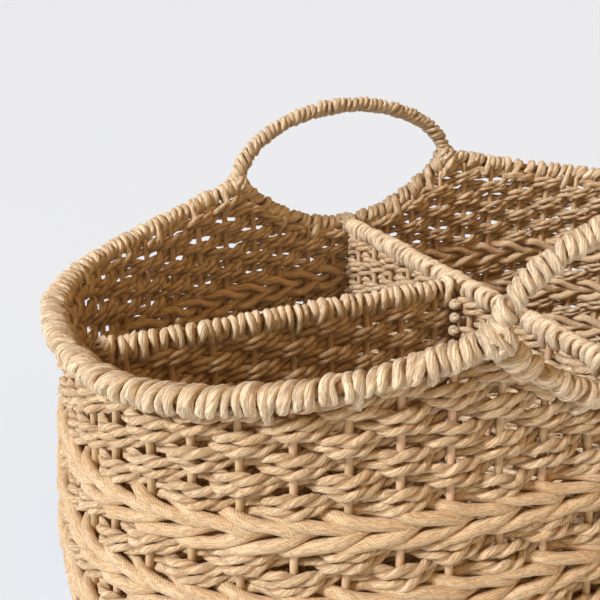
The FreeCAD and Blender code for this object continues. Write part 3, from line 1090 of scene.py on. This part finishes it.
@dataclass
class Lashing:
    """Crossed loops of cord that make a knot round a joint.

    Attributes:
        hand: the weaver's hand.
        centre: middle of the knot.
        radius: its outer radius.
        face: direction that the crossing faces.
        cord: the cord.
        loops: loops on each diagonal.
        slopes: slant of each layer of loops, in degrees, the first one lying deepest.
    """

    hand: Hand
    centre: np.ndarray
    radius: float
    face: tuple[float, float, float]
    cord: Cord
    loops: int = 3
    slopes: tuple[float, ...] = (48.0, -48.0)

    def runs(self) -> list[Run]:
        """The loops, the later ones lying on the earlier ones."""
        face = np.array(self.face, float)
        face /= np.linalg.norm(face)
        level = np.cross([0.0, 0.0, 1.0], face)
        level /= np.linalg.norm(level)
        up = np.cross(face, level)
        steps = 26
        turn = np.arange(steps) / steps * 2 * math.pi
        runs = []
        for layer, slope in enumerate(self.slopes):
            for k in range(self.loops):
                tilt = math.radians(slope + self.hand.jitter(7))
                along = level * math.cos(tilt) + up * math.sin(tilt)
                across = -level * math.sin(tilt) + up * math.cos(tilt)
                offset = (k - (self.loops - 1) / 2) * self.cord.radius * 1.9
                offset = offset + self.hand.jitter(0.2 * MM)
                over = layer / max(1, len(self.slopes) - 1)
                full = self.radius - self.cord.radius * (1.35 - 0.35 * over)
                reach = math.sqrt(max(full ** 2 - offset ** 2, (0.55 * full) ** 2))
                weave = 0.25 * MM * np.sin(3 * turn + k)
                points = (self.centre + np.outer(np.cos(turn) * (reach + weave), along)
                          + np.outer(np.sin(turn) * (reach + weave), face) + across * offset)
                runs.append(Run(points, True, 1 + self.hand.jitter(0.05)))
        return runs


# --- sub-assemblies -------------------------------------------------------------------------------
@dataclass
class RimAndHandles:
    """The rim roll, the two dips under the handles, the two loop handles and their lashings.

    Attributes:
        form: the basket's form.
        hand: the weaver's hand.
        wrap: cord round the rim.
        grip: cord round the handles.
        tie: cord of the lashings.
        pitch: length of rim that one turn takes.
        grip_pitch: length of handle that one turn takes.
        lashing_radius: radius of a lashing.
        proud: how far the rim's wrapping stands out of its roll's even radius.
    """

    form: BasketForm
    hand: Hand
    wrap: Cord = Cord(radius=2.1 * MM, lay=70 * MM, depth=0.2)
    grip: Cord = Cord(radius=1.8 * MM, lay=52 * MM, depth=0.2)
    tie: Cord = Cord(radius=1.7 * MM, lay=17 * MM, depth=0.22)
    pitch: float = 7.7 * MM
    grip_pitch: float = 6.6 * MM
    lashing_radius: float = 7.4 * MM
    proud: float = 0.35 * MM

    def rim_path(self, side: int) -> np.ndarray:
        """Centreline of the rim roll on the right (1) or the left (-1), from foot to foot."""
        form = self.form
        foot = float(form.rim_y(form.foot_x))
        power = form.outline_power / 2
        turn = math.atan2((foot / form.half_width) ** power,
                          (form.foot_x / form.half_length) ** power)
        angles = np.linspace(-turn, turn, 220) + (0 if side > 0 else math.pi)
        flat = form.outline(angles, 0.0)
        return np.column_stack([flat, form.rim_z(flat[:, 0])])

    def dip_path(self, side: int) -> np.ndarray:
        """Centreline of the roll that dips under the back (1) or the front (-1) handle."""
        form = self.form
        x = np.linspace(side * form.foot_x, -side * form.foot_x, 120)
        return np.column_stack([x, side * form.rim_y(x), form.rim_z(x * 0.99999)])

    def handle_path(self, side: int) -> np.ndarray:
        """Centreline of the back (1) or the front (-1) handle."""
        form = self.form
        t = np.linspace(0, math.pi, 120)
        power = 2 / form.handle_power
        x = side * form.foot_x * np.sign(np.cos(t)) * np.abs(np.cos(t)) ** power
        z = form.foot_height + form.handle_rise * np.abs(np.sin(t)) ** power
        return np.column_stack([x, side * form.rim_y(x), z])

    def rim_roll(self, path: np.ndarray, stitch: float) -> WrappedRoll:
        """The wrapping of one stretch of rim, with stitches of a length into the weave."""
        return WrappedRoll(self.hand, path, self.form.roll_radius + self.proud, self.wrap,
                           self.pitch, lean=-0.5 * MM, stitch_every=4, stitch=stitch,
                           stitch_in=4.2 * MM, spread=2.2, broad=1.6, hang=1.25)

    def build(self, maker: CordBuilder, finishes: Palette) -> None:
        """Make the rolls, the handles and their lashings."""
        form, hand = self.form, self.hand
        for name, side in (("left", -1), ("right", 1)):
            roll = self.rim_roll(self.rim_path(side), 5.5 * MM)
            maker.build(f"rim_coils_{name}", roll.runs(15), self.wrap, [f"rim_wrap_{name}"],
                        Slot.BINDING, finishes.binding)
        for name, side in (("front", -1), ("back", 1)):
            roll = self.rim_roll(self.dip_path(side), 5.0 * MM)
            maker.build(f"dip_coils_{name}", roll.runs(15), self.wrap, [f"dip_wrap_{name}"],
                        Slot.BINDING, finishes.binding)
            roll = WrappedRoll(hand, self.handle_path(side), form.handle_radius + 0.15 * MM,
                               self.grip, self.grip_pitch, outward=(0.0, float(side), 0.0),
                               lean=-0.35 * MM, spread=1.8)
            maker.build(f"handle_coils_{name}", roll.runs(14), self.grip, [f"handle_wrap_{name}"],
                        Slot.HANDLE, finishes.handle)
        for y_name, side_y in (("front", -1), ("back", 1)):
            for x_name, side_x in (("left", -1), ("right", 1)):
                x = side_x * form.foot_x
                centre = np.array([x, side_y * float(form.rim_y(x)), form.foot_height])
                knot = Lashing(hand, centre, self.lashing_radius + 0.2 * MM,
                               (0.25 * side_x, side_y, 0.0), self.tie)
                maker.build(f"foot_tie_{y_name}_{x_name}", knot.runs(), self.tie,
                            [f"foot_lashing_{y_name}_{x_name}"], Slot.BINDING, finishes.binding)


@dataclass
class Dividers:
    """The long divider across the basket and the short one from its left end.

    Attributes:
        form: the basket's form.
        hand: the weaver's hand.
        rope: the rope of both panels.
        wrap: cord round the rolls on top.
        tie: cord of the knots.
        pitch: length of roll that one turn takes.
        inner_drop: the short roll's inner end below the rim.
        half_panel: half the panels' thickness over the ropes.
        knot_reach: radius of a knot where the dividers meet.
    """

    form: BasketForm
    hand: Hand
    rope: Cord = Cord(radius=2.6 * MM, lay=18 * MM, twist=Lay.LEFT, depth=0.4)
    wrap: Cord = Cord(radius=1.95 * MM, lay=60 * MM, depth=0.16)
    tie: Cord = Cord(radius=1.5 * MM, lay=12 * MM, depth=0.26)
    pitch: float = 3.85 * MM
    inner_drop: float = 14.4 * MM
    half_panel: float = 4.6 * MM
    knot_reach: float = 0.95 * MM

    def half_gap(self, z: float) -> float:
        """Half the distance between the wall's inner faces on the long divider's line."""
        return self.form.half_width - 9.9 * MM + float(self.form.swell(np.array(z)))

    def long_panel(self) -> list[Run]:
        """Rows of the long divider."""
        form = self.form
        panel = FlatWeave(form, self.hand, Vector((0, 0, 0)), Vector((0, 1, 0)), Vector((0, 0, 1)),
                          phase=0.5)
        top = form.dip_height - form.roll_radius - 0.2 * MM
        rows = int((top - form.base_thickness) / form.row_pitch)
        runs = []
        for i in range(rows):
            z = top - (i + 0.5) * form.row_pitch
            half = self.half_gap(z)
            runs += panel.row(i, z, -half, half)
        return runs

    def side_panel(self) -> list[Run]:
        """Rows of the short divider, the highest ones parallel to its roll."""
        form = self.form
        panel = FlatWeave(form, self.hand, Vector((0, 0, 0)), Vector((-1, 0, 0)), Vector((0, 0, 1)),
                          phase=0.75, reach=2.1 * MM)
        inner = form.rim_height - self.inner_drop
        slope = (form.side_outer.z - inner) / -form.side_outer.x
        top = inner - form.roll_radius - 0.2 * MM
        rows = int((top - form.base_thickness) / form.row_pitch)
        runs = []
        for i in range(rows):
            z = top - (i + 0.5) * form.row_pitch
            end = form.half_length - 9.9 * MM + float(form.swell(np.array(z)))
            runs += panel.row(i, z, self.half_panel, end, slope * (1 - i / rows))
        return runs

    def knot_column(self) -> list[Run]:
        """Small tight loops, one to each row, down both corners where the dividers meet."""
        form = self.form
        top = form.rim_height - self.inner_drop - form.roll_radius - 2.5 * MM
        count = int((top - form.base_thickness) / form.row_pitch)
        steps, corner = 14, 6.7 * MM
        turn = np.arange(steps) / steps * 2 * math.pi
        runs = []
        for side in (-1, 1):
            for i in range(count):
                reach = self.knot_reach + self.hand.jitter(0.1 * MM)
                x = -corner + self.hand.jitter(0.3 * MM) + reach * np.cos(turn)
                y = side * (corner + reach * np.sin(turn))
                z = top - form.row_pitch * i + self.hand.jitter(0.4 * MM)
                z = z + 0.6 * MM * np.cos(turn + 0.7)
                runs.append(Run(np.column_stack([x, y, z]), True, 1.5 + self.hand.jitter(0.08)))
        return runs

    def top_roll(self, path: np.ndarray, stitch: float, hang: float) -> WrappedRoll:
        """The wrapping of a divider's top, with rare stitches into its panel."""
        return WrappedRoll(self.hand, path, self.form.roll_radius + 0.2 * MM, self.wrap, self.pitch,
                           strands=1, lean=-0.4 * MM, stitch_every=9, stitch=stitch, spread=2.4,
                           hang=hang)

    def build(self, maker: CordBuilder, finishes: Palette) -> None:
        """Make the panels, their rolls and their knots."""
        form, hand = self.form, self.hand
        maker.build("long_divider_rope", self.long_panel(), self.rope, ["long_divider_weave"],
                    Slot.WOVEN, finishes.woven)
        maker.build("side_divider_rope", self.side_panel(), self.rope, ["side_divider_weave"],
                    Slot.WOVEN, finishes.woven)
        half = form.half_width - form.roll_radius
        y = np.linspace(half, -half, 60)
        path = np.column_stack([0 * y, y, 0 * y + form.dip_height])
        roll = self.top_roll(path, 3.5 * MM, 1.5)
        maker.build("long_divider_coils", roll.runs(), self.wrap, ["long_divider_wrap"],
                    Slot.BINDING, finishes.smooth_binding)
        t = np.linspace(0, 1, 60)[:, None]
        inner = np.array([-form.roll_radius - 1.2 * MM, 0, form.rim_height - self.inner_drop])
        path = np.array(form.side_outer) * (1 - t) + inner * t
        roll = self.top_roll(path, 3.0 * MM, 1.8)
        maker.build("side_divider_coils", roll.runs(), self.wrap, ["side_divider_wrap"],
                    Slot.BINDING, finishes.smooth_binding)
        for name, side in (("front", -1), ("back", 1)):
            centre = np.array([0, side * half, form.dip_height])
            knot = Lashing(hand, centre, 6.7 * MM, (0.0, -side, 0.7), self.tie, loops=3)
            maker.build(f"divider_tie_{name}", knot.runs(), self.tie, [f"divider_lashing_{name}"],
                        Slot.BINDING, finishes.binding)
        knot = Lashing(hand, np.array(form.side_outer), 5.7 * MM, (1.0, -0.6, 0.6), self.tie,
                       loops=2, slopes=(70.0, -20.0, 25.0))
        maker.build("side_divider_tie", knot.runs(), self.tie, ["side_divider_knot"],
                    Slot.BINDING, finishes.binding)
        maker.build("divider_joint_ties", self.knot_column(), self.tie, ["divider_joint_knots"],
                    Slot.BINDING, finishes.binding)


@dataclass
class Base:
    """The woven bottom and its wrapped border.

    Attributes:
        form: the basket's form.
        hand: the weaver's hand.
        rope: the rope of the rows.
        wrap: cord round the border.
        wrap_pitch: length of border that one turn takes.
        tuck: how far inside the rim's plan the rows end, pushed into the border.
        last_row: how far inside it the outermost rows lie.
    """

    form: BasketForm
    hand: Hand
    rope: Cord = Cord(radius=2.25 * MM, lay=18 * MM, twist=Lay.LEFT, depth=0.4)
    wrap: Cord = Cord(radius=1.6 * MM, lay=11 * MM, depth=0.3)
    wrap_pitch: float = 6.2 * MM
    tuck: float = 8.5 * MM
    last_row: float = 12.2 * MM

    def rows(self) -> list[Run]:
        """Rows along the base, over and under its cross stakes."""
        form = self.form
        middle = form.base_thickness / 2
        floor = FlatWeave(form, self.hand, Vector((0, 0, middle)), Vector((1, 0, 0)),
                          Vector((0, 1, 0)), reach=1.6 * MM, step=1.9 * MM)
        inside = form.half_width - self.last_row
        count = int(2 * inside / form.row_pitch) + 1
        runs = []
        for i, y in enumerate(np.linspace(-inside, inside, count)):
            part = 1 - abs(y / (form.half_width - self.tuck)) ** form.outline_power
            half = (form.half_length - self.tuck) * part ** (1 / form.outline_power)
            runs += floor.row(i, y, -half, half)
        return runs

    def build(self, maker: CordBuilder, finishes: Palette) -> None:
        """Make the base and its border."""
        form = self.form
        maker.build("base_rope", self.rows(), self.rope, ["base_weave"], Slot.WOVEN,
                    finishes.woven)
        low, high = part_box("base_border_wrap")
        middle, radius = (low.z + high.z) / 2, (high.z - low.z) / 2
        angles = np.linspace(0, 2 * math.pi, 400, endpoint=False)
        flat = form.outline(angles, form.mid_wall - float(form.swell(np.array(middle))))
        path = np.column_stack([flat, np.full(len(flat), middle)])
        roll = WrappedRoll(self.hand, path, radius - 0.1 * MM, self.wrap, self.wrap_pitch,
                           closed=True, spread=0.6)
        maker.build("base_border_coils", roll.runs(), self.wrap, ["base_border_wrap"],
                    Slot.BINDING, finishes.binding)


# --- studio ---------------------------------------------------------------------------------------
@dataclass(frozen=True)
class SoftSun:
    """A distant soft light.

    Attributes:
        name: its name.
        azimuth: compass direction that it stands in, in degrees; 0 is in front of the basket.
        elevation: its height above the horizon, in degrees.
        softness: how wide it looks, in degrees.
        strength: its strength.
        colour: its colour, linear.
    """

    name: str
    azimuth: float
    elevation: float
    softness: float
    strength: float
    colour: tuple[float, float, float]


@dataclass
class Studio:
    """Plain floor, soft light and the camera.

    Attributes:
        rim_height: height of the basket's rim, which the camera's place starts from.
        azimuth: compass direction of the camera, in degrees; 0 is in front of the basket.
        elevation: how far it looks down, in degrees.
        roll: its small tilt, in degrees.
        lens: its focal length in millimetres.
        place: where it stands, with the height counted from the rim.
        suns: the lights.
        floor_tone: colour of the floor.
        distance_tone: colour beyond the floor.
        air_tone: colour of the light from all round.
        air_strength: strength of that light.
        room: half the floor's width.
    """

    rim_height: float
    azimuth: float = -23.42
    elevation: float = 21.92
    roll: float = -2.38
    lens: float = 49.8
    place: tuple[float, float, float] = (-0.2206, -0.3137, 0.1315)
    suns: tuple[SoftSun, ...] = (
        SoftSun("key_light", -88.0, 38.0, 14.0, 3.85, (0.9, 0.925, 1.0)),
        SoftSun("front_light", -25.0, 7.0, 50.0, 0.6, (1.0, 0.86, 0.64)),
        SoftSun("warm_fill", 30.0, 50.0, 60.0, 0.6, (1.0, 0.62, 0.26)),
    )
    floor_tone: Colour = (0.81, 0.915, 1.0, 1.0)
    distance_tone: Colour = (0.84, 0.83, 0.87, 1.0)
    air_tone: Colour = (1.0, 0.60, 0.29, 1.0)
    air_strength: float = 0.19
    room: float = 15.0

    def build(self) -> None:
        """Set up the floor, the lights and the camera."""
        self._floor()
        self._distance()
        self._air()
        for sun in self.suns:
            self._light(sun)
        bpy.context.scene.view_settings.view_transform = "Standard"
        self._camera()

    def _floor(self) -> None:
        """A wide plain floor."""
        work = bmesh.new()
        bmesh.ops.create_grid(work, x_segments=1, y_segments=1, size=self.room)
        _, shader = self._staged("floor", work)
        shader.inputs["Base Color"].default_value = self.floor_tone
        shader.inputs["Roughness"].default_value = 0.9
        shader.inputs["Specular IOR Level"].default_value = 0.1

    def _distance(self) -> None:
        """A pale dome beyond the floor's edge, which only the camera sees."""
        work = bmesh.new()
        bmesh.ops.create_icosphere(work, subdivisions=4, radius=self.room)
        dome, shader = self._staged("distance", work)
        shader.inputs["Base Color"].default_value = (0.0, 0.0, 0.0, 1.0)
        shader.inputs["Specular IOR Level"].default_value = 0.0
        shader.inputs["Emission Color"].default_value = self.distance_tone
        shader.inputs["Emission Strength"].default_value = 1.0
        dome.visible_diffuse = dome.visible_glossy = dome.visible_transmission = False
        dome.visible_volume_scatter = dome.visible_shadow = False

    @staticmethod
    def _staged(name: str, work: bmesh.types.BMesh) -> tuple[bpy.types.Object, bpy.types.Node]:
        """Make a shape a part of the stage, with its own material.

        Args:
            name: the object's name.
            work: its shape, which is used up.

        Returns:
            The object and its material's shader.
        """
        mesh = bpy.data.meshes.new(name)
        work.to_mesh(mesh)
        work.free()
        thing = bpy.data.objects.new(name, mesh)
        bpy.context.scene.collection.objects.link(thing)
        made = bpy.data.materials.new(f"studio_{name}")
        made.use_nodes = True
        mesh.materials.append(made)
        return thing, made.node_tree.nodes["Principled BSDF"]

    def _air(self) -> None:
        """Even light from all round."""
        world = bpy.data.worlds.new("studio_world")
        world.use_nodes = True
        shade = world.node_tree.nodes["Background"]
        shade.inputs["Color"].default_value = self.air_tone
        shade.inputs["Strength"].default_value = self.air_strength
        bpy.context.scene.world = world

    @staticmethod
    def _towards(azimuth: float, elevation: float) -> Vector:
        """The direction of a compass bearing and a height above the horizon, in degrees."""
        a, e = math.radians(azimuth), math.radians(elevation)
        return Vector((math.sin(a) * math.cos(e), -math.cos(a) * math.cos(e), math.sin(e)))

    def _light(self, sun: SoftSun) -> None:
        """Put up one light."""
        light = bpy.data.lights.new(sun.name, "SUN")
        light.angle = math.radians(sun.softness)
        light.energy, light.color = sun.strength, sun.colour
        lamp = bpy.data.objects.new(sun.name, light)
        towards = self._towards(sun.azimuth, sun.elevation)
        lamp.rotation_euler = (-towards).to_track_quat("-Z", "Y").to_euler()
        bpy.context.scene.collection.objects.link(lamp)

    def _camera(self) -> None:
        """The camera, with its small tilt."""
        lens = bpy.data.cameras.new("camera")
        lens.lens, lens.sensor_width = self.lens, 36.0
        camera = bpy.data.objects.new("camera", lens)
        back, roll = self._towards(self.azimuth, self.elevation), math.radians(self.roll)
        right = (-back).cross(Vector((0, 0, 1))).normalized()
        up = right.cross(-back)
        across = right * math.cos(roll) + up * math.sin(roll)
        upright = up * math.cos(roll) - right * math.sin(roll)
        turn = Matrix((across, upright, back)).transposed()
        x, y, above_rim = self.place
        place = Vector((x, y, self.rim_height + above_rim))
        camera.matrix_world = Matrix.Translation(place) @ turn.to_4x4()
        bpy.context.scene.collection.objects.link(camera)
        bpy.context.scene.camera = camera


# --- the whole basket -----------------------------------------------------------------------------
def make_finishes() -> Palette:
    """Build every material."""
    effects = SharedEffects()
    cream = (0.90, 0.745, 0.52, 1.0)
    straw = (0.78, 0.595, 0.37, 1.0)
    toast = (0.67, 0.455, 0.24, 1.0)
    blush = (0.72, 0.475, 0.275, 1.0)
    woven = PaperCordFinish("twisted_paper_rope", straw, toast, blush)
    wale = PaperCordFinish("fine_paper_cord", straw, toast, blush, groove=0.0, stripe=0.13,
                           relief=0.42)
    binding = PaperCordFinish("creased_paper_cord", cream, straw, blush, groove=0.4, fibres=8.0,
                              creases=5.0, relief=0.8)
    smooth = PaperCordFinish("smooth_paper_cord", cream, straw, blush, groove=0.0, fibres=7.0,
                             creases=4.0, relief=0.6)
    grip = PaperCordFinish("tight_paper_cord", cream, straw, blush, groove=0.4, fibres=8.0,
                           creases=6.0, relief=0.8)
    rods = RodFinish("stake_wood", ((0.66, 0.47, 0.27, 1), (0.56, 0.40, 0.21, 1),
                                    (0.70, 0.46, 0.29, 1), (0.72, 0.53, 0.32, 1)))
    cane = RodFinish("cane", ((0.30, 0.17, 0.07, 1), (0.42, 0.26, 0.12, 1)))
    return Palette(woven=woven.material(effects), wale=wale.material(effects),
                   binding=binding.material(effects), smooth_binding=smooth.material(effects),
                   handle=grip.material(effects), stake=rods.material(), cane=cane.material())


def dress_nodes(finishes: Palette) -> None:
    """Give every node that still shows its finish."""
    for name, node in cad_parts.items():
        node.data.materials.clear()
        node.data.materials.append(finishes.cane if "_core" in name else finishes.stake)


def main() -> None:
    """Build the basket and the studio."""
    logging.basicConfig(level=logging.INFO, format="%(message)s")
    form = BasketForm.from_frame()
    finishes = make_finishes()
    dress_nodes(finishes)
    maker = CordBuilder()
    WallWeave(form, Hand(11)).build(maker, finishes)
    RimAndHandles(form, Hand(12)).build(maker, finishes)
    Dividers(form, Hand(13)).build(maker, finishes)
    Base(form, Hand(14)).build(maker, finishes)
    Studio(form.rim_height).build()
    log.info("%d pieces", len(maker.pieces))


if __name__ == "__main__":
    main()
